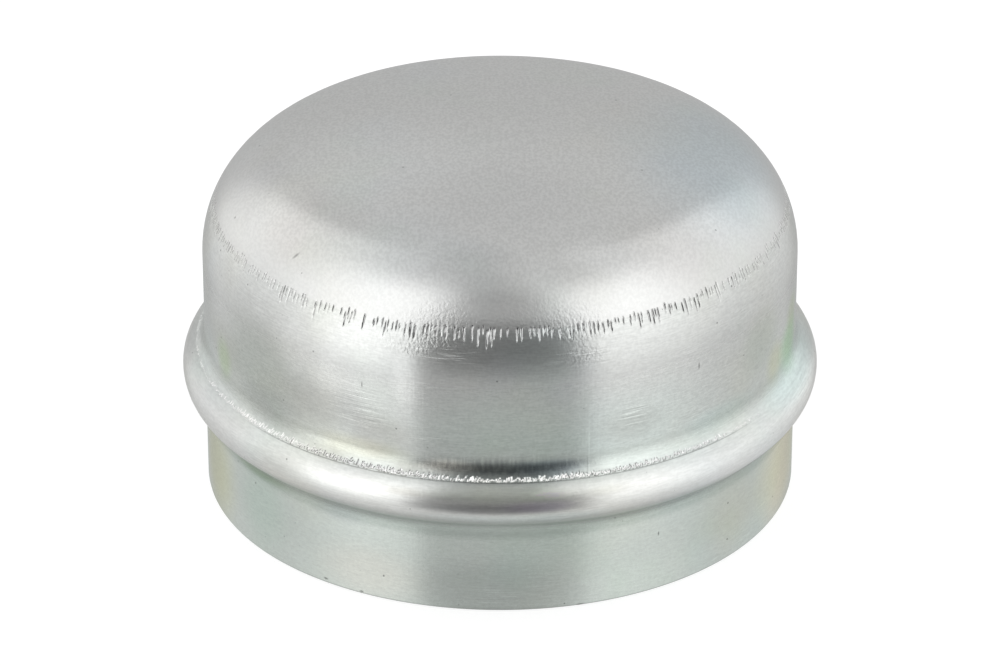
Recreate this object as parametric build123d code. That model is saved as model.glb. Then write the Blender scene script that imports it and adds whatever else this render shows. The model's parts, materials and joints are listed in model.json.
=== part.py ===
from build123d import *
import os
from math import acos, degrees, sin

# Hub grease cap: one cup of zinc-plated sheet steel, deep drawn and trimmed.
# It is pressed by its skirt into the hub's bore until the rolled bead meets the hub's face,
# and closes the bearing and its grease in. The open rim lies on Z = 0 and the crown is up.

# Driving dimensions, in millimetres
draw_diameter = 55.5  # outside of the drawn cup: the skirt that grips the bore, and the wall
sheet_thickness = 1.0
skirt_length = 8.1  # straight land that is pressed into the bore
rim_edge_radius = 0.25  # broken edge of the trimmed rim, outside and inside
bead_projection = 2.1  # how far the bead stands out of the wall
bead_radius = 2.5  # round nose of the bead, outside
bead_foot_radius = 1.6  # hollow between the skirt and the bead, outside
bead_throat_radius = 2.0  # hollow between the bead and the wall, outside
wall_length = 7.8  # straight wall between the bead and the shoulder
shoulder_radius = 10.25  # round shoulder left by the punch, outside
crown_radius = 115.0  # shallow dome of the crown, outside

# Turns of the sheet, in radians, where one round stretch runs into the next without a corner
wall_radius = draw_diameter / 2
foot_turn = acos(1 - bead_projection / (bead_foot_radius + bead_radius))
throat_turn = acos(1 - bead_projection / (bead_throat_radius + bead_radius))
shoulder_turn = acos((wall_radius - shoulder_radius) / (crown_radius - shoulder_radius))

# Heights of the round stretches' centres above the rim, stacked from the skirt upwards
foot_height = skirt_length
bead_height = foot_height + (bead_foot_radius + bead_radius) * sin(foot_turn)
throat_height = bead_height + (bead_throat_radius + bead_radius) * sin(throat_turn)
shoulder_height = throat_height + wall_length
crown_height = shoulder_height - (crown_radius - shoulder_radius) * sin(shoulder_turn)
overall_height = crown_height + crown_radius


def sheet_face(depth):
    """Half section of the sheet's face that lies depth under the outside, from rim to pole."""
    foot = (wall_radius + bead_foot_radius, foot_height)
    bead = (wall_radius + bead_projection - bead_radius, bead_height)
    throat = (wall_radius + bead_throat_radius, throat_height)
    shoulder = (wall_radius - shoulder_radius, shoulder_height)
    crown = (0, crown_height)
    radius = wall_radius - depth
    foot_deg, throat_deg, shoulder_deg = map(degrees, (foot_turn, throat_turn, shoulder_turn))
    return [
        Line((radius, 0), (radius, foot_height)),
        CenterArc(foot, bead_foot_radius + depth, 180, -foot_deg),
        CenterArc(bead, bead_radius - depth, -foot_deg, foot_deg + throat_deg),
        CenterArc(throat, bead_throat_radius + depth, 180 + throat_deg, -throat_deg),
        Line((radius, throat_height), (radius, shoulder_height)),
        CenterArc(shoulder, shoulder_radius - depth, 0, shoulder_deg),
        CenterArc(crown, crown_radius - depth, shoulder_deg, 90 - shoulder_deg),
    ]


def cap_section():
    """Half section of the drawn sheet, with the trimmed rim's two edges broken."""
    rim = Line((wall_radius - sheet_thickness, 0), (wall_radius, 0))
    pole = Line((0, overall_height - sheet_thickness), (0, overall_height))
    outline = sheet_face(0) + sheet_face(sheet_thickness) + [rim, pole]
    section = make_face(outline)
    rim_edges = section.vertices().group_by(Axis.Y)[0]
    return fillet(rim_edges, rim_edge_radius)


def grease_cap():
    """The whole cap, the section turned once about the hub's axis."""
    cap = revolve(Plane.XZ * cap_section(), axis=Axis.Z)
    cap.label = "grease_cap"
    return cap


os.makedirs("parts", exist_ok=True)
cap = grease_cap()
export_step(cap, "parts/grease_cap.step")
print(f"overall height {overall_height:.2f}, bead centre at {bead_height:.2f}")
print(f"bead diameter {draw_diameter + 2 * bead_projection:.2f}, volume {cap.volume:.1f} mm3")
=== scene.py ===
import json
import random
from math import acos, atan2, ceil, cos, hypot, pi, radians, sin, tau

import bmesh
import bpy
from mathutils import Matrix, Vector


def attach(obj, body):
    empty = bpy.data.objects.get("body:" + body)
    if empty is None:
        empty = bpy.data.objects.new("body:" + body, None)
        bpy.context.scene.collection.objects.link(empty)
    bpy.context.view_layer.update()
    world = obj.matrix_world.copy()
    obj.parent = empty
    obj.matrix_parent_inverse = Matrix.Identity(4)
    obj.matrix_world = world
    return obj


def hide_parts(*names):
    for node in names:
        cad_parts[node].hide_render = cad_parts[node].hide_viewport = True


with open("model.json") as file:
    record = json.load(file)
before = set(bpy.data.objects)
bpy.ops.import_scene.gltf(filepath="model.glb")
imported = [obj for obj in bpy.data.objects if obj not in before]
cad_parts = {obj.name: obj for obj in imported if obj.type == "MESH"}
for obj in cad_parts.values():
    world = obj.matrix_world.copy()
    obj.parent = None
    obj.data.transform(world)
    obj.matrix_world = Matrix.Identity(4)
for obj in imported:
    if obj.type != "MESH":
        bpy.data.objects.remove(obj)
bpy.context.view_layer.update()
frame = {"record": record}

# The drawn sheet. The cap is one disc of 1 mm steel, deep drawn over a punch with a round shoulder,
# bulged outwards into a stop bead and trimmed square at the rim. Its half section is read from the rim
# up and swept once round, with the skirt's radius taken from the mount that presses into the hub.
mm = 0.001
skirt_mount = next(mount for mount in frame["record"]["mounts"] if mount["name"] == "skirt_press_fit")
wall_radius = skirt_mount["dims"]["r_mm"] * mm
sheet_thickness = 1.0 * mm
skirt_length = 8.1 * mm
rim_edge_radius = 0.25 * mm
bead_projection = 2.1 * mm
bead_radius = 2.5 * mm
bead_foot_radius = 1.6 * mm
bead_throat_radius = 2.0 * mm
wall_length = 7.8 * mm
shoulder_radius = 10.25 * mm
crown_radius = 115.0 * mm

foot_turn = acos(1 - bead_projection / (bead_foot_radius + bead_radius))
throat_turn = acos(1 - bead_projection / (bead_throat_radius + bead_radius))
shoulder_turn = acos((wall_radius - shoulder_radius) / (crown_radius - shoulder_radius))
bead_height = skirt_length + (bead_foot_radius + bead_radius) * sin(foot_turn)
throat_height = bead_height + (bead_throat_radius + bead_radius) * sin(throat_turn)
shoulder_height = throat_height + wall_length
crown_height = shoulder_height - (crown_radius - shoulder_radius) * sin(shoulder_turn)

rim_outside = (wall_radius - rim_edge_radius, rim_edge_radius)
rim_inside = (wall_radius - sheet_thickness + rim_edge_radius, rim_edge_radius)
foot_centre = (wall_radius + bead_foot_radius, skirt_length)
bead_centre = (wall_radius + bead_projection - bead_radius, bead_height)
throat_centre = (wall_radius + bead_throat_radius, throat_height)
shoulder_centre = (wall_radius - shoulder_radius, shoulder_height)
crown_centre = (0.0, crown_height)

# The worked bands. The crease is a sharp fold where the bead was pushed up against the wall, the torn
# band is the bruised strip above it, and the scored band is where the die's mouth rubbed the shoulder.
# They are swept finer than the plain stretches beside them, and all are sewn into one closed sheet.
crease_width = 0.05 * mm
crease_depth = 0.045 * mm
crease_fade = 0.4
crease_turn = crease_width / bead_radius
crease = (
    bead_centre[0] + bead_radius * cos(throat_turn),
    bead_centre[1] + bead_radius * sin(throat_turn),
)
crease_top = throat_centre[1] - bead_throat_radius * sin(throat_turn - crease_turn)
torn_turn = radians(31.0)
score_low = radians(17.0)
score_line = radians(28.6)
score_high = radians(33.0)
row_gap = radians(2.0)
score_height = shoulder_centre[1] + shoulder_radius * sin(score_line)


def arc(centre, radius, start, end, steps):
    """Points of a round stretch of the half section, from the angle start to the angle end."""
    points = []
    for step in range(steps + 1):
        angle = start + (end - start) * step / steps
        points.append((centre[0] + radius * cos(angle), centre[1] + radius * sin(angle)))
    return points


skirt_and_bead = [
    *arc(rim_outside, rim_edge_radius, -pi / 2, 0, steps=4),
    *arc(foot_centre, bead_foot_radius, pi, pi - foot_turn, steps=6),
    *arc(bead_centre, bead_radius, -foot_turn, throat_turn - 3 * crease_turn, steps=14)[1:],
]
torn_band = [
    *arc(bead_centre, bead_radius, throat_turn - 2 * crease_turn, throat_turn - crease_turn, steps=1),
    crease,
    *arc(throat_centre, bead_throat_radius, pi + throat_turn - crease_turn, pi + torn_turn, steps=9),
]
throat_and_wall = [
    *arc(throat_centre, bead_throat_radius, pi + torn_turn - row_gap, pi, steps=5),
    *arc(shoulder_centre, shoulder_radius, 0, score_low - row_gap, steps=4),
]
scored_band = arc(shoulder_centre, shoulder_radius, score_low, score_high, steps=13)
shoulder_and_crown = [
    *arc(shoulder_centre, shoulder_radius, score_high + row_gap, shoulder_turn, steps=10),
    *arc(crown_centre, crown_radius, shoulder_turn, pi / 2, steps=8)[1:],
]
hollow_side = [
    *arc(rim_inside, rim_edge_radius, -pi / 2, -pi, steps=3),
    *arc(foot_centre, bead_foot_radius + sheet_thickness, pi, pi - foot_turn, steps=6),
    *arc(bead_centre, bead_radius - sheet_thickness, -foot_turn, throat_turn, steps=10)[1:],
    *arc(throat_centre, bead_throat_radius + sheet_thickness, pi + throat_turn, pi, steps=6)[1:],
    *arc(shoulder_centre, shoulder_radius - sheet_thickness, 0, shoulder_turn, steps=12),
    *arc(crown_centre, crown_radius - sheet_thickness, shoulder_turn, pi / 2, steps=6)[1:],
]

sector_count = 28
fine_steps = 80
plain_steps = 16
hollow_steps = 8
fine_columns = sector_count * fine_steps
touch = 0.001 * mm


def swept(section, sector_steps):
    """The surface that a stretch of the half section sweeps in one turn, made as equal sectors."""
    surface = bmesh.new()
    verts = [surface.verts.new((radius, 0, height)) for radius, height in section]
    edges = [surface.edges.new(pair) for pair in zip(verts, verts[1:])]
    axis = {"cent": (0, 0, 0), "axis": (0, 0, 1)}
    bmesh.ops.spin(surface, geom=verts + edges, angle=tau / sector_count, steps=sector_steps, **axis)
    sector = surface.verts[:] + surface.edges[:] + surface.faces[:]
    bmesh.ops.spin(surface, geom=sector, angle=tau, steps=sector_count, use_duplicate=True, **axis)
    bmesh.ops.remove_doubles(surface, verts=surface.verts, dist=touch)
    for face in surface.faces:
        face.smooth = True
    return surface


drawn_finish, bruised_finish, grained_finish, hollow_finish = range(4)
bruise_depth = 0.012 * mm
mark_middle = 0.5


def press_marks(surface, centre, bulge, marks):
    """Press V-shaped bruises, narrow at the foot, into a fine band. Bulge is -1 where it is hollow."""
    columns = {}
    for vert in surface.verts:
        column = round(atan2(vert.co.y, vert.co.x) / tau * fine_columns) % fine_columns
        columns.setdefault(column, []).append(vert)
    depths = {}
    for mark in marks:
        middle = round(mark["angle"] / tau * fine_columns)
        reach = ceil((mark["half_width"] + abs(mark["lean"])) / wall_radius / tau * fine_columns)
        for column in range(middle - reach, middle + reach + 1):
            sideways = (column / fine_columns * tau - mark["angle"]) * wall_radius
            for vert in columns[column % fine_columns]:
                along = (vert.co.z - mark["foot"]) / (mark["head"] - mark["foot"])
                fullness = mark["foot_share"] + (1 - mark["foot_share"]) * along
                leaning = mark["lean"] * (along - mark_middle)
                across = abs(sideways - leaning) / (mark["half_width"] * fullness)
                if 0 <= along <= 1 and across < 1:
                    depths[vert] = max(depths.get(vert, 0), mark["depth"] * fullness * (1 - across))
    for vert, depth in depths.items():
        radius = hypot(vert.co.x, vert.co.y)
        out = Vector((radius - centre[0], vert.co.z - centre[1])).normalized() * bulge
        vert.co -= depth * Vector((out.x * vert.co.x / radius, out.x * vert.co.y / radius, out.y))
        for face in vert.link_faces:
            face.smooth = False
            if sum(depths.get(corner, 0) for corner in face.verts) > bruise_depth * len(face.verts):
                face.material_index = bruised_finish


def fold_crease(surface):
    """Press the crease into the torn band, full at the front and the back and dying out at the sides."""
    for vert in surface.verts:
        if abs(vert.co.z - crease[1]) < touch:
            angle = atan2(vert.co.y, vert.co.x)
            depth = crease_depth * max(0.0, (1 + crease_fade) * sin(angle) ** 2 - crease_fade)
            level = depth * cos(throat_turn)
            vert.co -= Vector((level * cos(angle), level * sin(angle), depth * sin(throat_turn)))


draws = random.Random(148)
score_group_sizes = (1, 6)
score_lengths = (0.70 * mm, 1.15 * mm)
score_length_shares = (0.55, 1.30)
score_head_scatter = 0.10 * mm
score_half_widths = (0.08 * mm, 0.15 * mm)
score_depths = (0.04 * mm, 0.08 * mm)
score_leans = (-0.10 * mm, 0.10 * mm)
score_foot_share = 0.45
score_gaps = (0.26 * mm, 0.55 * mm)
score_group_gaps = (0.0, 0.60 * mm)


def score_marks():
    """Scores run down the shoulder in loose groups, about level at their heads and uneven at their feet."""
    marks = []
    place = 0.0
    while place < tau * wall_radius:
        group_length = draws.uniform(*score_lengths)
        for _ in range(draws.randint(*score_group_sizes)):
            head = score_height + draws.gauss(0, score_head_scatter)
            marks.append({
                "angle": place / wall_radius,
                "head": head,
                "foot": head - group_length * draws.uniform(*score_length_shares),
                "half_width": draws.uniform(*score_half_widths),
                "depth": draws.uniform(*score_depths),
                "lean": draws.uniform(*score_leans),
                "foot_share": score_foot_share,
            })
            place += draws.uniform(*score_gaps)
        place += draws.uniform(*score_group_gaps)
    return marks


torn_heads = (0.0, 0.10 * mm)
torn_feet = (0.20 * mm, 0.42 * mm)
torn_half_widths = (0.08 * mm, 0.12 * mm)
torn_depths = (0.06 * mm, 0.10 * mm)
torn_leans = (-0.30 * mm, 0.20 * mm)
torn_foot_share = 0.5
torn_gaps = (0.14 * mm, 0.30 * mm)
side_fading = 0.9
right_fading = 0.2
left_fraying = 0.4


def torn_marks():
    """Short slanted bruises crowd above the crease, dying out to the right and fraying to the left."""
    marks = []
    place = 0.0
    while place < tau * wall_radius:
        angle = place / wall_radius
        strength = 1 - (side_fading + right_fading * cos(angle)) * cos(angle) ** 2
        fraying = 1 + left_fraying * max(0.0, -cos(angle))
        mark = {
            "angle": angle,
            "head": crease_top + draws.uniform(*torn_heads),
            "foot": crease_top + draws.uniform(*torn_feet) * fraying,
            "half_width": draws.uniform(*torn_half_widths),
            "depth": draws.uniform(*torn_depths) * strength,
            "lean": draws.uniform(*torn_leans),
            "foot_share": torn_foot_share,
        }
        if strength > 0:
            marks.append(mark)
        place += draws.uniform(*torn_gaps)
    return marks


cap_mesh = bmesh.new()
bands = (
    (skirt_and_bead, plain_steps, drawn_finish),
    (torn_band, fine_steps, drawn_finish),
    (throat_and_wall, plain_steps, drawn_finish),
    (scored_band, fine_steps, drawn_finish),
    (shoulder_and_crown, plain_steps, grained_finish),
    (hollow_side, hollow_steps, hollow_finish),
)
for section, sector_steps, finish in bands:
    surface = swept(section, sector_steps)
    for face in surface.faces:
        face.material_index = finish
    if section is scored_band:
        for face in surface.faces:
            if face.calc_center_median().z > score_height:
                face.material_index = grained_finish
        press_marks(surface, shoulder_centre, 1, score_marks())
    if section is torn_band:
        press_marks(surface, throat_centre, -1, torn_marks())
        fold_crease(surface)
    carried = bpy.data.meshes.new("carried")
    surface.to_mesh(carried)
    surface.free()
    cap_mesh.from_mesh(carried)
    bpy.data.meshes.remove(carried)

open_verts = [vert for vert in cap_mesh.verts if vert.is_boundary]
half_column = pi / fine_columns


def open_loop(end):
    """The corners of the open loop at one end of a swept stretch, in order round the axis."""
    loop = []
    for vert in open_verts:
        if hypot(hypot(vert.co.x, vert.co.y) - end[0], vert.co.z - end[1]) < touch:
            loop.append(vert)
    return sorted(loop, key=lambda vert: (atan2(vert.co.y, vert.co.x) + half_column) % tau)


def sew(lower_end, upper_end, finish):
    """Join two open loops by triangles, a whole number of corners of one to each of the other."""
    few, many = sorted((open_loop(lower_end), open_loop(upper_end)), key=len)
    share = len(many) // len(few)
    half = share // 2
    for place, corner in enumerate(few):
        next_corner = few[(place + 1) % len(few)]
        fan = [many[(place * share + step) % len(many)] for step in range(share + 1)]
        triangles = [(corner, fan[step], fan[step + 1]) for step in range(half)]
        triangles.append((corner, fan[half], next_corner))
        triangles += [(next_corner, fan[step], fan[step + 1]) for step in range(half, share)]
        for triangle in triangles:
            face = cap_mesh.faces.new(triangle)
            face.smooth = True
            face.material_index = finish


sew(hollow_side[0], skirt_and_bead[0], drawn_finish)
sew(skirt_and_bead[-1], torn_band[0], drawn_finish)
sew(torn_band[-1], throat_and_wall[0], drawn_finish)
sew(throat_and_wall[-1], scored_band[0], drawn_finish)
sew(scored_band[-1], shoulder_and_crown[0], grained_finish)
bmesh.ops.recalc_face_normals(cap_mesh, faces=cap_mesh.faces)

grease_cap = bpy.data.objects.new("grease_cap_sheet", bpy.data.meshes.new("grease_cap_sheet"))
cap_mesh.to_mesh(grease_cap.data)
cap_mesh.free()
bpy.context.scene.collection.objects.link(grease_cap)
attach(grease_cap, "root")
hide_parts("grease_cap")


# The zinc plating. Bright zinc under a clear passivate film covers the whole sheet. What its finishes
# share is made here as node groups: the steel's grain, the die's rubbing, specks and the film's colours.
def fill(made, sockets):
    """Set or link a node's inputs by name or number."""
    for name, given in sockets.items():
        if isinstance(given, bpy.types.NodeSocket):
            made.id_data.links.new(given, made.inputs[name])
        else:
            made.inputs[name].default_value = given
    return made.outputs


def node(tree, kind, sockets, **choices):
    """The outputs of a new node of one kind, with its own choices and its inputs filled."""
    made = tree.nodes.new(kind)
    for name, choice in choices.items():
        setattr(made, name, choice)
    return fill(made, sockets)


def calc(tree, operation, *values):
    """The result of one Math node over values and sockets."""
    return node(tree, "ShaderNodeMath", dict(enumerate(values)), operation=operation)[0]


def ramp(tree, value, low, high, low_out, high_out):
    """A value eased from one range into another."""
    given = {"Value": value, "From Min": low, "From Max": high, "To Min": low_out, "To Max": high_out}
    return node(tree, "ShaderNodeMapRange", given, interpolation_type="SMOOTHSTEP")["Result"]


def tinted(tree, colour, amount, tint):
    """A colour multiplied by a tint where the amount is high."""
    given = {"Fac": amount, "Color1": colour, "Color2": tint}
    return node(tree, "ShaderNodeMixRGB", given, blend_type="MULTIPLY")["Color"]


def place_on_cap(tree):
    """Object coordinates, which lie still on the cap."""
    return node(tree, "ShaderNodeTexCoord", {})["Object"]


def noise(tree, sizes, detail):
    """Noise over the cap, with its own size of feature along X, Y and Z."""
    scale = [1 / size for size in sizes]
    spread = node(tree, "ShaderNodeMapping", {"Vector": place_on_cap(tree), "Scale": scale})["Vector"]
    return node(tree, "ShaderNodeTexNoise", {"Vector": spread, "Scale": 1.0, "Detail": detail})["Fac"]


value_kind = "NodeSocketFloat"
colour_kind = "NodeSocketColor"


def group(name, inputs, outputs):
    """An empty node group with its end nodes, from its inputs' defaults and its outputs' kinds."""
    made = bpy.data.node_groups.new(name, "ShaderNodeTree")
    for socket, default in inputs.items():
        kind = colour_kind if isinstance(default, tuple) else value_kind
        made.interface.new_socket(socket, in_out="INPUT", socket_type=kind).default_value = default
    for socket, kind in outputs.items():
        made.interface.new_socket(socket, in_out="OUTPUT", socket_type=kind)
    return made, made.nodes.new("NodeGroupInput").outputs, made.nodes.new("NodeGroupOutput")


noise_edges = (0.3, 0.7)
black = (0, 0, 0, 1)

grain_sizes = (0.26 * mm, 0.40 * mm, 0.26 * mm)
sheet_grain, grain_in, grain_out = group(
    "sheet_grain", {"Depth": 0.1}, {"Shade": value_kind, "Height": value_kind})
grain = noise(sheet_grain, grain_sizes, detail=1.0)
fill(grain_out, {
    "Shade": ramp(sheet_grain, grain, *noise_edges, grain_in["Depth"], 0.0),
    "Height": grain,
})

brush_sizes = (0.9 * mm, 0.9 * mm, 0.12 * mm)
scratch_sizes = (3.0 * mm, 3.0 * mm, 0.10 * mm)
bundle_sizes = (8.0 * mm, 8.0 * mm, 3.5 * mm)
bundle_edges = (0.55, 0.75)
loose_bundle_strength = 0.5
bright_line_edges = (0.58, 0.72)
dark_line_edges = (0.28, 0.42)
striation_sizes = (0.24 * mm, 0.24 * mm, 9.0 * mm)
die_rubbing, rubbing_in, rubbing_out = group(
    "die_rubbing",
    {"Depth": 0.1, "Bundles": 0.0},
    {"Shade": value_kind, "Bright": value_kind, "Dark": value_kind, "Striations": value_kind},
)
scratch_lines = noise(die_rubbing, scratch_sizes, detail=0.0)
bundle_places = noise(die_rubbing, bundle_sizes, detail=1.0)
loose_bundles = ramp(die_rubbing, bundle_places, *bundle_edges, 0.0, loose_bundle_strength)
bundles = calc(die_rubbing, "MAXIMUM", loose_bundles, rubbing_in["Bundles"])
bright_lines = ramp(die_rubbing, scratch_lines, *bright_line_edges, 0.0, 1.0)
dark_lines = ramp(die_rubbing, scratch_lines, *dark_line_edges, 1.0, 0.0)
brush_lines = noise(die_rubbing, brush_sizes, detail=1.0)
fill(rubbing_out, {
    "Shade": ramp(die_rubbing, brush_lines, *noise_edges, rubbing_in["Depth"], 0.0),
    "Bright": calc(die_rubbing, "MULTIPLY", bright_lines, bundles),
    "Dark": calc(die_rubbing, "MULTIPLY", dark_lines, bundles),
    "Striations": noise(die_rubbing, striation_sizes, detail=1.0),
})

speck_core_share = 0.5
plating_specks, specks_in, specks_out = group(
    "plating_specks", {"Spacing": 2.0 * mm, "Size": 0.1}, {"Mask": value_kind})
cells = node(plating_specks, "ShaderNodeTexVoronoi", {
    "Vector": place_on_cap(plating_specks),
    "Scale": calc(plating_specks, "DIVIDE", 1.0, specks_in["Spacing"]),
})
luck = node(plating_specks, "ShaderNodeSeparateColor", {"Color": cells["Color"]})["Red"]
speck_reach = calc(plating_specks, "MULTIPLY", specks_in["Size"], luck)
speck_core = calc(plating_specks, "MULTIPLY", speck_reach, speck_core_share)
fill(specks_out, {"Mask": ramp(plating_specks, cells["Distance"], speck_core, speck_reach, 1.0, 0.0)})

film_clouds = (
    (17.0 * mm, (0.90, 0.98, 1.06, 1)),
    (13.0 * mm, (1.03, 1.00, 0.90, 1)),
    (9.0 * mm, (0.93, 1.02, 0.93, 1)),
)
cloud_edges = (0.5, 0.75)
passivate_film, film_in, film_out = group(
    "passivate_film", {"Plate": (0.64, 0.65, 0.63, 1.0), "Clouds": 1.0}, {"Color": colour_kind})
film = film_in["Plate"]
for cloud_size, tint in film_clouds:
    cloud = noise(passivate_film, (cloud_size,) * 3, detail=2.0)
    cloudiness = ramp(passivate_film, cloud, *cloud_edges, 0.0, film_in["Clouds"])
    film = tinted(passivate_film, film, cloudiness, tint)
fill(film_out, {"Color": film})


def plated(name):
    """A new metal material on the cap, its tree and its shader."""
    material = bpy.data.materials.new(name)
    material.use_nodes = True
    shader = material.node_tree.nodes["Principled BSDF"]
    shader.inputs["Metallic"].default_value = 1.0
    grease_cap.data.materials.append(material)
    return material.node_tree, shader


def use(tree, shared, sockets):
    """The outputs of one of the shared node groups, placed in a material with its own values."""
    made = tree.nodes.new("ShaderNodeGroup")
    made.node_tree = shared
    return fill(made, sockets)


spot_core = 0.2


def spot(tree, centre, half_size, turned=(0, 0, 0)):
    """A soft spot, placed and sized in millimetres and turned in degrees: 1 at its centre, 0 outside."""
    inside = node(tree, "ShaderNodeMapping", {
        "Vector": place_on_cap(tree),
        "Location": [along * mm for along in centre],
        "Rotation": [radians(angle) for angle in turned],
        "Scale": [along * mm for along in half_size],
    }, vector_type="TEXTURE")["Vector"]
    distance = node(tree, "ShaderNodeVectorMath", {"Vector": inside}, operation="LENGTH")["Value"]
    return ramp(tree, distance, spot_core, 1.0, 1.0, 0.0)


# The drawn finish. Wall, throat, bead and skirt were rubbed round by the die, so the gloss spreads
# upright, and most on the rolled bead. The film leans to green low down and is stained where it ran.
# Painted shade and painted highlights, in patches and in rings, stand in for reflections, and painted
# shade darkens the throat and the crease. Stains, painted light, nicks and scratches are placed and sized
# in millimetres.
# The patches named for a colour are stains in the film. The dull ones are painted shade and the light ones
# painted highlights, standing in for reflections.
wall_stains_and_painted_light = {
    "green at the right end": ((26.8, -7.4, 16.9), (3.2, 4.6, 3.2), (0.76, 1.03, 0.74, 1)),
    "yellow beside the green": ((25.3, -11.4, 17.0), (2.4, 2.6, 2.8), (1.00, 1.00, 0.84, 1)),
    "yellow above the green": ((27.0, -6.4, 19.6), (2.2, 3.0, 2.6), (0.95, 1.00, 0.83, 1)),
    "green at the left end": ((-25.4, -11.2, 17.2), (1.8, 2.6, 2.8), (0.90, 1.00, 0.80, 1)),
    "painted shade at the left end": ((-25.4, -11.2, 18.4), (4.0, 6.0, 3.6), (0.88, 0.88, 0.85, 1)),
    "painted shade at the right end": ((23.9, -14.0, 20.5), (3.8, 5.4, 4.2), (0.88, 0.91, 0.88, 1)),
    "green wall": ((9.0, -25.0, 17.5), (19.0, 8.0, 6.0), (0.965, 1.00, 0.99, 1)),
    "painted shade far left on the wall": ((-22.0, -16.8, 20.0), (7.0, 8.0, 6.0), (0.84, 0.86, 0.83, 1)),
    "painted shade on the left wall": ((-15.5, -22.5, 18.4), (9.0, 8.0, 3.4), (0.81, 0.80, 0.80, 1)),
    "painted shade low on the left wall": ((-10.8, -25.6, 16.9), (5.0, 3.5, 3.0), (0.80, 0.78, 0.77, 1)),
    "painted shade low on the right wall": ((11.8, -25.1, 17.9), (4.8, 3.5, 2.2), (0.89, 0.88, 0.88, 1)),
    "painted highlight on the left wall": ((-18.5, -20.5, 23.6), (3.5, 3.5, 3.5), (1.09, 1.09, 1.10, 1)),
    "painted highlight on a left panel": ((-15.6, -22.9, 22.0), (2.4, 2.4, 3.6), (1.09, 1.09, 1.10, 1)),
    "painted highlight in a left column": ((-8.4, -26.4, 22.8), (1.8, 2.0, 3.6), (1.18, 1.18, 1.18, 1)),
    "greenish painted highlight on the front wall": ((0.0, -27.7, 19.0), (11.0, 2.4, 5.0), (1.08, 1.12, 1.10, 1)),
    # The draw line is a real line on the wall, painted as a highlight with painted shade beside it.
    "draw line": ((7.97, -26.9, 16.6), (0.1, 1.5, 4.4), (1.13, 1.13, 1.13, 1)),
    "painted shade beside the draw line": ((7.86, -27.0, 14.5), (0.1, 1.2, 1.2), (0.82, 0.82, 0.82, 1)),
}
# The blue, cream and green patches are stains in the film, and the blue one at the right end is also
# lightened as a painted highlight. The dark and dull ones are painted shade. The warm one is a painted
# highlight that lifts the left end of the painted shade in the throat.
throat_stains_and_painted_light = {
    "painted shade in the throat": ((0.8, -27.7, 14.9), (6.8, 2.6, 0.9), (0.68, 0.70, 0.71, 1)),
    "blue throat": ((4.5, -27.6, 14.8), (5.0, 2.0, 1.0), (0.88, 0.93, 1.00, 1)),
    "warm painted highlight in the throat": ((-4.6, -27.4, 14.8), (3.4, 2.2, 1.0), (1.70, 1.61, 1.55, 1)),
    "cream left throat": ((-13.0, -25.0, 15.4), (7.0, 4.0, 1.5), (1.00, 0.97, 0.89, 1)),
    "painted shade on the left throat": ((-21.0, -18.2, 16.2), (6.0, 6.5, 2.4), (0.84, 0.84, 0.84, 1)),
    "green right throat": ((20.0, -19.2, 15.6), (6.5, 6.5, 1.8), (0.94, 1.00, 1.00, 1)),
    "blue painted highlight on the right throat": ((27.3, -7.5, 14.2), (6.0, 13.0, 2.2), (1.00, 1.10, 1.11, 1)),
    "painted shade on the torn strip": ((-0.8, -28.2, 14.2), (12.0, 2.6, 0.8), (0.56, 0.58, 0.59, 1)),
    "painted shade on the torn strip's left": ((-8.4, -27.2, 14.5), (2.6, 2.0, 0.9), (0.84, 0.82, 0.80, 1)),
    "painted shade on the torn strip's right": ((8.2, -27.2, 14.4), (2.2, 2.0, 0.8), (0.88, 0.88, 0.88, 1)),
    "painted shade on the left ticks": ((-15.5, -23.6, 14.3), (4.0, 3.5, 0.9), (0.88, 0.87, 0.85, 1)),
    "painted shade on the right ticks": ((17.5, -22.2, 14.4), (6.0, 5.0, 1.0), (0.91, 0.92, 0.91, 1)),
    "painted shade on the far left ticks": ((-20.3, -19.6, 14.6), (5.5, 5.5, 1.1), (0.82, 0.82, 0.82, 1)),
}
# All but the purple stain are painted highlights and painted shade. The darkest one stands in for the
# reflection of the dark front.
bead_painted_light_and_stains = {
    "painted highlight on the bead": ((0.0, -29.5, 12.95), (10.0, 2.2, 0.95), (1.19, 1.23, 1.17, 1)),
    "painted dark reflection on the bead": ((-0.5, -29.8, 11.7), (12.0, 3.6, 0.75), (0.43, 0.43, 0.44, 1)),
    "purple bead": ((3.5, -29.7, 11.9), (4.5, 2.4, 0.8), (0.97, 0.91, 1.03, 1)),
    "painted highlight on the right bead": ((22.0, -19.5, 11.0), (10.0, 11.0, 1.6), (1.16, 1.15, 1.15, 1)),
    "painted shade on the left bead": ((-26.8, -8.5, 13.4), (9.0, 17.0, 3.0), (0.84, 0.84, 0.85, 1)),
    "painted shade on the left cheek": ((-14.0, -25.6, 13.0), (6.0, 4.5, 1.5), (0.93, 0.92, 0.92, 1)),
    "painted shade on the right cheek": ((12.5, -26.3, 13.0), (6.0, 4.5, 1.5), (0.95, 0.94, 0.94, 1)),
    "painted highlight on the front crest": ((4.9, -28.8, 13.05), (3.0, 1.6, 0.75), (1.30, 1.29, 1.29, 1)),
    "painted shade on the left crest": ((-8.6, -28.3, 12.75), (3.6, 2.0, 0.55), (0.86, 0.85, 0.83, 1)),
    "painted shade on the right crest": ((9.6, -27.9, 12.75), (3.2, 2.0, 0.55), (0.88, 0.88, 0.86, 1)),
    "painted shade on the far left crest": ((-20.0, -21.7, 12.4), (6.0, 6.0, 1.3), (0.84, 0.84, 0.84, 1)),
    "painted shade on the far right crest": ((18.5, -22.9, 13.0), (6.5, 6.5, 1.0), (0.91, 0.91, 0.91, 1)),
}
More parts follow.
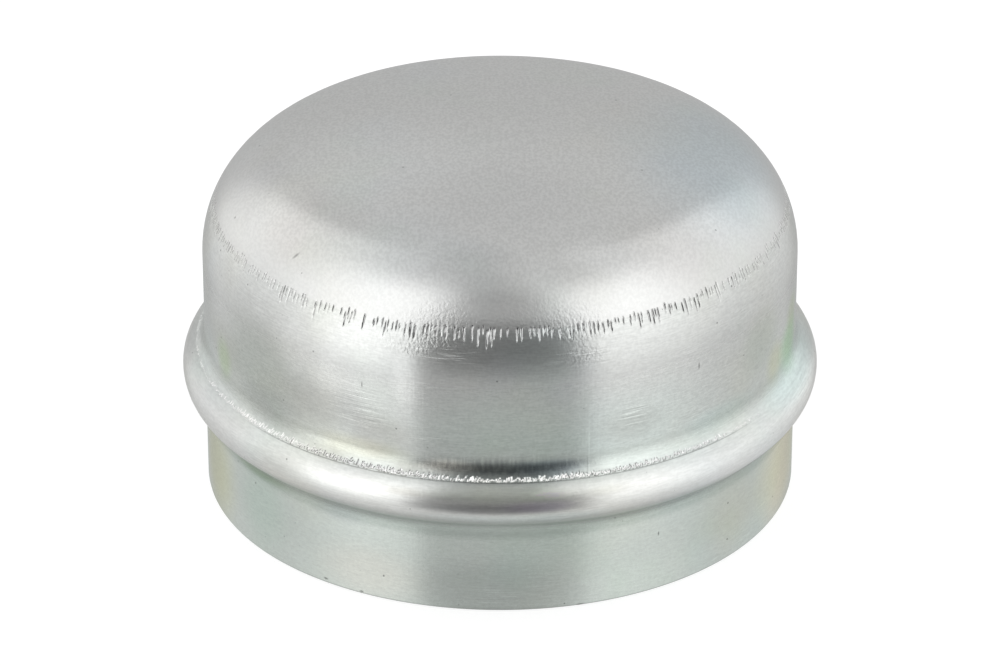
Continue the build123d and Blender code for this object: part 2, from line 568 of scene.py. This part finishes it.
# The blue, yellow, beige and green patches are stains in the film. The dark and dull ones are painted
# shade, under the bead and down the front of the skirt to its rim.
skirt_stains_and_painted_light = {
    "blue under the bead": ((2.0, -29.0, 10.6), (12.0, 3.0, 0.9), (0.95, 1.00, 1.00, 1)),
    "greenish painted shade under the left bead": ((-22.5, -17.0, 8.4), (6.0, 7.0, 0.9), (0.70, 0.76, 0.66, 1)),
    "painted shade under the right bead": ((24.6, -15.4, 9.85), (7.0, 8.5, 0.55), (0.50, 0.52, 0.56, 1)),
    "painted shade on the left foot": ((-14.8, -23.6, 7.9), (4.5, 4.0, 1.3), (0.88, 0.88, 0.90, 1)),
    "yellow left skirt end": ((-26.3, -8.2, 4.5), (4.0, 7.5, 7.5), (1.04, 1.00, 0.79, 1)),
    "yellow right skirt end": ((26.3, -8.2, 5.0), (5.5, 10.0, 7.5), (1.27, 1.11, 0.885, 1)),
    "beige left skirt": ((-12.0, -25.0, 2.5), (8.0, 6.0, 4.0), (1.05, 1.00, 0.98, 1)),
    "beige right skirt": ((21.5, -17.2, 5.0), (6.0, 7.0, 6.0), (1.05, 1.00, 0.95, 1)),
    "green left skirt": ((-22.0, -17.0, 5.0), (5.0, 5.0, 6.0), (0.94, 1.00, 0.97, 1)),
    "painted shade on the front skirt": ((-1.0, -27.5, 1.8), (11.0, 3.0, 5.0), (0.78, 0.78, 0.78, 1)),
    "painted shade along the front rim": ((0.5, -27.7, 0.1), (9.0, 2.5, 0.5), (0.86, 0.86, 0.86, 1)),
}
# All rings are painted light: painted highlights on the bead, under it and at the rim, and painted shade
# round the throat and the foot.
painted_light_rings = {
    "painted highlight on the bead": (bead_height, 1.2 * mm, 3.0 * mm, (1.05, 1.02, 1.03, 1)),
    "painted highlight round the bead's middle": (11.8 * mm, 0.8 * mm, 1.7 * mm, (1.19, 1.18, 1.18, 1)),
    "painted highlight under the bead": (10.3 * mm, 0.3 * mm, 0.9 * mm, (1.10, 1.10, 1.10, 1)),
    "painted shade round the throat": (15.1 * mm, 0.3 * mm, 1.1 * mm, (0.93, 0.93, 0.92, 1)),
    "painted highlight at the rim": (0.0, 1.0 * mm, 5.0 * mm, (1.07, 1.07, 1.07, 1)),
    "painted shade at the foot": (8.3 * mm, 0.35 * mm, 1.15 * mm, (0.81, 0.83, 0.82, 1)),
}
low_tints = {
    "wall": (15.0 * mm, 24.0 * mm, (0.97, 1.00, 0.985, 1)),
    "skirt": (8.0 * mm, 10.5 * mm, (1.00, 1.03, 1.01, 1)),
}
wall_nicks = (
    ((17.9, -21.2, 21.75), (0.13, 0.13, 0.50)),
    ((14.4, -23.7, 5.8), (0.13, 0.13, 0.32)),
    ((-12.34, -24.86, 21.78), (0.10, 0.10, 0.40)),
    ((-18.3, -21.7, 13.96), (0.14, 0.14, 0.14)),
    ((-19.3, -22.4, 12.8), (0.14, 0.14, 0.14)),
    ((-26.2, -9.1, 17.2), (0.14, 0.26, 0.14)),
    ((7.3, -26.8, 0.15), (0.60, 0.30, 0.14)),
    ((-15.9, -22.7, 0.5), (0.35, 0.30, 0.16)),
    ((-12.6, -24.7, 0.3), (0.30, 0.30, 0.14)),
)
scratch_bundles = (
    ((-13.0, -24.5, 19.3), (4.5, 4.0, 3.2)),
    ((-4.0, -27.3, 25.9), (6.0, 3.0, 1.1)),
    ((7.5, -26.6, 25.4), (5.0, 3.0, 1.2)),
    ((12.2, -25.0, 18.8), (2.2, 2.5, 1.8)),
)
sparkling_grain = (
    ((-7.6, -26.2, 26.4), (2.8, 2.4, 1.4)),
    ((7.4, -26.4, 25.6), (3.2, 2.4, 1.6)),
)
drawn_plate = (0.678, 0.69, 0.674, 1)
drawn_clouds = 0.35
brushing_heights = (8.0 * mm, 12.0 * mm)
brushing_depths = (0.055, 0.09)
drawn_grain_heights = (14.0 * mm, 18.0 * mm)
drawn_grain_depths = (0.05, 0.08)
bright_scratch = (1.22, 1.22, 1.22, 1)
dark_scratch = (0.85, 0.85, 0.85, 1)
wall_speck_spacing = 1.5 * mm
wall_speck_size = 0.09
wall_speck_shade = (0.45, 0.45, 0.45, 1)
streak_shade = (0.70, 0.70, 0.72, 1)
crease_shade_tint = (0.55, 0.55, 0.55, 1)
crease_shade_edges = (0.015 * mm, 0.04 * mm)
crease_shade_reach = (-23.0 * mm, -15.0 * mm)
throat_streaks = ((0.0, -27.7, 14.9), (14.0, 2.4, 1.4))
worn_sizes = (7.0 * mm, 7.0 * mm, 30.0 * mm)
worn_height = 23.8 * mm
worn_sway = 5.0 * mm
worn_edge = 0.3 * mm
worn_relief = 0.002
fresh_relief = 0.020
streak_relief = 0.003
scratch_relief = -0.010
bead_reach = (1.6 * mm, 3.2 * mm)
bead_to_wall_roughness = (0.32, 0.27)
shoulder_reach = (22.5 * mm, 25.0 * mm)
shoulder_roughness = 0.05
upright_spread = 0.87
quarter_turn = 0.25

tree, shader = plated("drawn_zinc")
place = node(tree, "ShaderNodeSeparateXYZ", {"Vector": place_on_cap(tree)})
height = place["Z"]
film = use(tree, passivate_film, {"Plate": drawn_plate, "Clouds": drawn_clouds})["Color"]
for full_height, end_height, tint in low_tints.values():
    film = tinted(tree, film, ramp(tree, height, full_height, end_height, 1.0, 0.0), tint)
for ring_height, core, edge, tint in painted_light_rings.values():
    off_ring = calc(tree, "ABSOLUTE", calc(tree, "SUBTRACT", height, ring_height))
    film = tinted(tree, film, ramp(tree, off_ring, core, edge, 1.0, 0.0), tint)
# Painted shade darkens the crease, at the front only.
off_crease = calc(tree, "ABSOLUTE", calc(tree, "SUBTRACT", height, crease[1]))
crease_shade_mask = ramp(tree, off_crease, *crease_shade_edges, 1.0, 0.0)
crease_shade_mask = calc(tree, "MULTIPLY", crease_shade_mask, ramp(tree, place["Y"], *crease_shade_reach, 1.0, 0.0))
film = tinted(tree, film, crease_shade_mask, crease_shade_tint)
for stains in (wall_stains_and_painted_light, throat_stains_and_painted_light, bead_painted_light_and_stains, skirt_stains_and_painted_light):
    for centre, half_size, tint in stains.values():
        film = tinted(tree, film, spot(tree, centre, half_size), tint)
bundled = 0.0
for centre, half_size in scratch_bundles:
    bundled = calc(tree, "MAXIMUM", bundled, spot(tree, centre, half_size))
brushing = ramp(tree, height, *brushing_heights, *brushing_depths)
rubbing = use(tree, die_rubbing, {"Depth": brushing, "Bundles": bundled})
streaks = ramp(tree, rubbing["Striations"], *noise_edges, 1.0, 0.0)
streaks = calc(tree, "MULTIPLY", streaks, spot(tree, *throat_streaks))
film = tinted(tree, film, streaks, streak_shade)
film = tinted(tree, film, rubbing["Shade"], black)
film = tinted(tree, film, rubbing["Bright"], bright_scratch)
film = tinted(tree, film, rubbing["Dark"], dark_scratch)
grain = use(tree, sheet_grain, {"Depth": ramp(tree, height, *drawn_grain_heights, *drawn_grain_depths)})
film = tinted(tree, film, grain["Shade"], black)
specks = use(tree, plating_specks, {"Spacing": wall_speck_spacing, "Size": wall_speck_size})["Mask"]
for centre, half_size in wall_nicks:
    specks = calc(tree, "MAXIMUM", specks, spot(tree, centre, half_size))
film = tinted(tree, film, specks, wall_speck_shade)
worn_line = calc(tree, "MULTIPLY_ADD", noise(tree, worn_sizes, detail=1.0), worn_sway, worn_height)
fresh = ramp(tree, calc(tree, "SUBTRACT", height, worn_line), -worn_edge, worn_edge, 0.0, 1.0)
for centre, half_size in sparkling_grain:
    fresh = calc(tree, "MAXIMUM", fresh, spot(tree, centre, half_size))
grain_relief = calc(tree, "MULTIPLY_ADD", fresh, fresh_relief - worn_relief, worn_relief)
relief = calc(tree, "MULTIPLY", grain["Height"], grain_relief)
relief = calc(tree, "MULTIPLY_ADD", rubbing["Striations"], streak_relief, relief)
relief = calc(tree, "MULTIPLY_ADD", rubbing["Bright"], scratch_relief, relief)
bump = node(tree, "ShaderNodeBump", {"Height": relief, "Strength": 1.0, "Distance": mm})
tangent = node(tree, "ShaderNodeTangent", {}, direction_type="RADIAL", axis="Z")
off_bead = calc(tree, "ABSOLUTE", calc(tree, "SUBTRACT", height, bead_height))
roughness = ramp(tree, off_bead, *bead_reach, *bead_to_wall_roughness)
duller_shoulder = ramp(tree, height, *shoulder_reach, 0.0, shoulder_roughness)
fill(shader, {
    "Base Color": film,
    "Roughness": calc(tree, "ADD", roughness, duller_shoulder),
    "Anisotropic": upright_spread,
    "Anisotropic Rotation": quarter_turn,
    "Tangent": tangent["Tangent"],
    "Normal": bump["Normal"],
})

# The bruised finish. In the scores and the torn ticks the die broke the gloss of the plating and left it
# even and pale. The scores were ironed hard as the wall ran through the die's mouth. Painted shade darkens
# them.
bruised_plate = (0.76, 0.76, 0.75, 1)
bruised_clouds = 0.3
bruised_grain = 0.2
bruised_roughness = 0.25
score_painted_shade = (0.62, 0.62, 0.62, 1)
score_reach = (17.0 * mm, 20.0 * mm)
tree, shader = plated("bruised_zinc")
height = node(tree, "ShaderNodeSeparateXYZ", {"Vector": place_on_cap(tree)})["Z"]
film = use(tree, passivate_film, {"Plate": bruised_plate, "Clouds": bruised_clouds})["Color"]
# Painted shade darkens the scores.
film = tinted(tree, film, ramp(tree, height, *score_reach, 0.0, 1.0), score_painted_shade)
grain = use(tree, sheet_grain, {"Depth": bruised_grain})
film = tinted(tree, film, grain["Shade"], black)
fill(shader, {"Base Color": film, "Roughness": bruised_roughness})

# The grained finish. The crown and the shoulder above the scores kept the matte salt-and-pepper grain
# of the rolled sheet, worn finer on the shoulder. The film is bluer to the right. Painted shade darkens
# the far side and patches along the shoulder, painted highlights lighten a few spots, and two small
# scratches cross it.
crown_nicks = (
    ((-18.35, -16.6, 30.50), (0.62, 0.4, 0.11), (0, -40, 0)),
    ((19.4, -16.8, 29.2), (0.5, 0.25, 0.12), (0, 0, 40)),
)
# The blue patch is a stain in the film. The others are painted shade and painted highlights standing in for
# reflections.
crown_stains_and_painted_light = {
    "painted highlight on the left side": ((-11.0, -5.0, 33.5), (12.0, 15.0, 6.0), (1.05, 1.05, 1.05, 1)),
    "painted shade on the right shoulder": ((15.5, -17.0, 30.8), (9.0, 6.5, 4.5), (0.91, 0.90, 0.90, 1)),
    "painted shade on the left shoulder": ((-16.5, -14.5, 31.4), (9.0, 8.0, 4.0), (0.93, 0.91, 0.90, 1)),
    "painted shade at the left end": ((-22.6, -4.5, 31.5), (5.0, 9.0, 3.5), (0.88, 0.88, 0.89, 1)),
    "painted shade at the right front": ((7.5, -23.2, 30.6), (5.0, 4.0, 3.0), (0.93, 0.93, 0.92, 1)),
    "painted shade at the right end": ((21.5, -8.5, 31.8), (4.5, 6.0, 3.0), (0.92, 0.93, 0.93, 1)),
    "painted shade on the front shoulder": ((-2.2, -21.6, 31.8), (6.0, 4.0, 3.0), (0.88, 0.88, 0.88, 1)),
    "painted shade on the front edge": ((-1.0, -24.0, 31.1), (5.0, 2.4, 2.0), (0.90, 0.90, 0.90, 1)),
    "painted highlight on the front shoulder": ((7.6, -20.4, 32.2), (3.0, 3.0, 2.5), (1.06, 1.06, 1.06, 1)),
    "painted shade on the front crown": ((0.0, -13.0, 34.2), (14.0, 10.0, 4.0), (0.945, 0.945, 0.95, 1)),
    "blue right side": ((20.0, -2.0, 32.5), (12.0, 17.0, 6.0), (0.89, 0.965, 1.02, 1)),
}
grained_plate = (0.658, 0.662, 0.651, 1)
grained_clouds = 0.2
grained_roughness = 0.285
far_side_painted_shade = (0.91, 0.91, 0.91, 1)
far_side_shade_reach = (-9.0 * mm, 8.0 * mm)
shade_heights = (28.0 * mm, 33.5 * mm)
shade_depths = (0.06, 0.125)
relief_heights = (28.5 * mm, 31.5 * mm)
relief_depths = (0.018 * mm, 0.0035 * mm)
crown_speck_spacing = 2.2 * mm
crown_speck_size = 0.07
crown_speck_shade = (0.55, 0.55, 0.55, 1)
tree, shader = plated("grained_zinc")
place = node(tree, "ShaderNodeSeparateXYZ", {"Vector": place_on_cap(tree)})
film = use(tree, passivate_film, {"Plate": grained_plate, "Clouds": grained_clouds})["Color"]
# Painted shade darkens the far side of the crown.
film = tinted(tree, film, ramp(tree, place["Y"], *far_side_shade_reach, 0.0, 1.0), far_side_painted_shade)
for centre, half_size, tint in crown_stains_and_painted_light.values():
    film = tinted(tree, film, spot(tree, centre, half_size), tint)
grain = use(tree, sheet_grain, {"Depth": ramp(tree, place["Z"], *shade_heights, *shade_depths)})
film = tinted(tree, film, grain["Shade"], black)
specks = use(tree, plating_specks, {"Spacing": crown_speck_spacing, "Size": crown_speck_size})["Mask"]
for centre, half_size, turned in crown_nicks:
    specks = calc(tree, "MAXIMUM", specks, spot(tree, centre, half_size, turned))
film = tinted(tree, film, specks, crown_speck_shade)
relief = calc(tree, "SUBTRACT", grain["Height"], specks)
grain_depth = ramp(tree, place["Z"], *relief_heights, *relief_depths)
bump = node(tree, "ShaderNodeBump", {"Height": relief, "Strength": 1.0, "Distance": grain_depth})
fill(shader, {"Base Color": film, "Roughness": grained_roughness, "Normal": bump["Normal"]})

# The hollow finish. The inside was rubbed by the punch alone, so it is duller and more clouded than
# the outside, with the grain of the sheet showing all over.
hollow_plate = (0.60, 0.61, 0.59, 1)
hollow_clouds = 0.8
hollow_grain = 0.14
hollow_relief = 0.006 * mm
hollow_roughness = 0.34
tree, shader = plated("hollow_zinc")
film = use(tree, passivate_film, {"Plate": hollow_plate, "Clouds": hollow_clouds})["Color"]
grain = use(tree, sheet_grain, {"Depth": hollow_grain})
film = tinted(tree, film, grain["Shade"], black)
bump = node(tree, "ShaderNodeBump", {"Height": grain["Height"], "Strength": 1.0, "Distance": hollow_relief})
fill(shader, {"Base Color": film, "Roughness": hollow_roughness, "Normal": bump["Normal"]})

# The floor. A plain white table that the cap stands on by its rim: it takes the cap's shadow, and the
# small glow that only the camera sees brings it up to white without more light on the cap. The metal
# doesn't mirror it, because the photographed cap mirrors white cloth below it too.
floor_half_width = 2.0
floor_colour = (0.3, 0.3, 0.3, 1)
floor_roughness = 0.7
floor_glow = 0.76
white = (1, 1, 1, 1)
floor_material = bpy.data.materials.new("white_table")
floor_material.use_nodes = True
tree = floor_material.node_tree
rays = node(tree, "ShaderNodeLightPath", {})
mirrored = calc(tree, "MAXIMUM", rays["Is Glossy Ray"], rays["Is Transmission Ray"])
seen = calc(tree, "MAXIMUM", rays["Is Camera Ray"], mirrored)
fill(tree.nodes["Principled BSDF"], {
    "Base Color": floor_colour,
    "Roughness": floor_roughness,
    "Emission Color": white,
    "Emission Strength": calc(tree, "MULTIPLY", seen, floor_glow),
})
floor_mesh = bmesh.new()
bmesh.ops.create_grid(floor_mesh, x_segments=1, y_segments=1, size=floor_half_width)
floor = bpy.data.objects.new("floor", bpy.data.meshes.new("floor"))
floor_mesh.to_mesh(floor.data)
floor_mesh.free()
floor.data.materials.append(floor_material)
floor.visible_glossy = False
bpy.context.scene.collection.objects.link(floor)

# The light tent. White cloth stands round the table: bright sides beside the camera, a dimmer back, top
# and bottom, and an arched opening in front, where the dark room shows behind the camera. Two soft lamps
# shine through the cloth from the left.
bottom_light = 0.344
top_light = (0.751, 0.751, 0.751, 1)
roof_rises = (0.775, 1.0)
side_turns = (radians(46.0), radians(110.5))
side_lights = (1.705, 1.239)
back_turns = (radians(139.7), radians(149.8))
back_dimming = -0.476
cloth_rises = (-1.6, 0.71)
sinking_turns = (radians(60.0), radians(100.0))
sinking = -0.087
opening_low_rises = (-0.428, -0.087)
opening_low_lights = (0.683, 0.089)
opening_high_rises = (0.282, 0.782)
opening_high_gain = 0.439
opening_top_rises = (0.7, 1.0)
opening_top_dimming = -0.574
arch_rises = (0.0, 0.35)
arch_turn = radians(3.8)
left_to_right = (-0.05, 0.05)
inner_turns = (radians(28.4), radians(25.5))
outer_turns = (radians(34.4), radians(41.0))
lamps = {
    "left": (Vector((-0.826, -0.563, -0.03)), 0.925, 0.56),
    "left behind": (Vector((-0.72, 0.65, 0.22)), 0.85, 0.14),
}
world = bpy.data.worlds.new("light_tent")
bpy.context.scene.world = world
world.use_nodes = True
tree = world.node_tree
direction = node(tree, "ShaderNodeTexCoord", {})["Generated"]
split = node(tree, "ShaderNodeSeparateXYZ", {"Vector": direction})
rise = split["Z"]
turn = calc(tree, "ARCTAN2", calc(tree, "ABSOLUTE", split["X"]), calc(tree, "MULTIPLY", split["Y"], -1))
front_cloth = ramp(tree, turn, *side_turns, *side_lights)
back_cloth = ramp(tree, turn, *back_turns, 0.0, back_dimming)
sunk = calc(tree, "ADD", rise, ramp(tree, turn, *sinking_turns, 0.0, sinking))
lift = ramp(tree, sunk, *cloth_rises, 0.0, 1.0)
cloth = calc(tree, "SUBTRACT", calc(tree, "ADD", front_cloth, back_cloth), bottom_light)
cloth = calc(tree, "MULTIPLY_ADD", lift, cloth, bottom_light)
for lamp_direction, edge, gain in lamps.values():
    sockets = {0: direction, 1: lamp_direction}
    nearness = node(tree, "ShaderNodeVectorMath", sockets, operation="DOT_PRODUCT")["Value"]
    cloth = calc(tree, "ADD", cloth, ramp(tree, nearness, edge, 1.0, 0.0, gain))
opening = ramp(tree, rise, *opening_low_rises, *opening_low_lights)
opening = calc(tree, "ADD", opening, ramp(tree, rise, *opening_high_rises, 0.0, opening_high_gain))
opening = calc(tree, "ADD", opening, ramp(tree, rise, *opening_top_rises, 0.0, opening_top_dimming))
arched = calc(tree, "ADD", turn, ramp(tree, rise, *arch_rises, 0.0, arch_turn))
inner_edge = ramp(tree, split["X"], *left_to_right, *inner_turns)
outer_edge = ramp(tree, split["X"], *left_to_right, *outer_turns)
in_opening = ramp(tree, arched, inner_edge, outer_edge, 1.0, 0.0)
in_roof = ramp(tree, rise, *roof_rises, 0.0, 1.0)
tent_light = cloth
for covered, light in ((in_opening, opening), (in_roof, top_light)):
    given = {"Fac": covered, "Color1": tent_light, "Color2": light}
    tent_light = node(tree, "ShaderNodeMixRGB", given)["Color"]
fill(tree.nodes["Background"], {"Color": tent_light})

# The camera. It looks down on the cap from straight in front, from half a metre away, through a long lens
# that takes in the cap with a white margin round it.
view_elevation = radians(27.73)
view_distance = 0.5
view_lens = 191.2
film_width = 36.0
view_target = Vector((0, 0, 13.915 * mm))
camera = bpy.data.objects.new("camera", bpy.data.cameras.new("camera"))
camera.data.sensor_width = film_width
camera.data.lens = view_lens
away = Vector((0, -cos(view_elevation), sin(view_elevation)))
camera.location = view_target + away * view_distance
camera.rotation_mode = "QUATERNION"
camera.rotation_quaternion = away.to_track_quat("Z", "Y")
bpy.context.scene.collection.objects.link(camera)
bpy.context.scene.camera = camera
bpy.context.scene.view_settings.view_transform = "Standard"
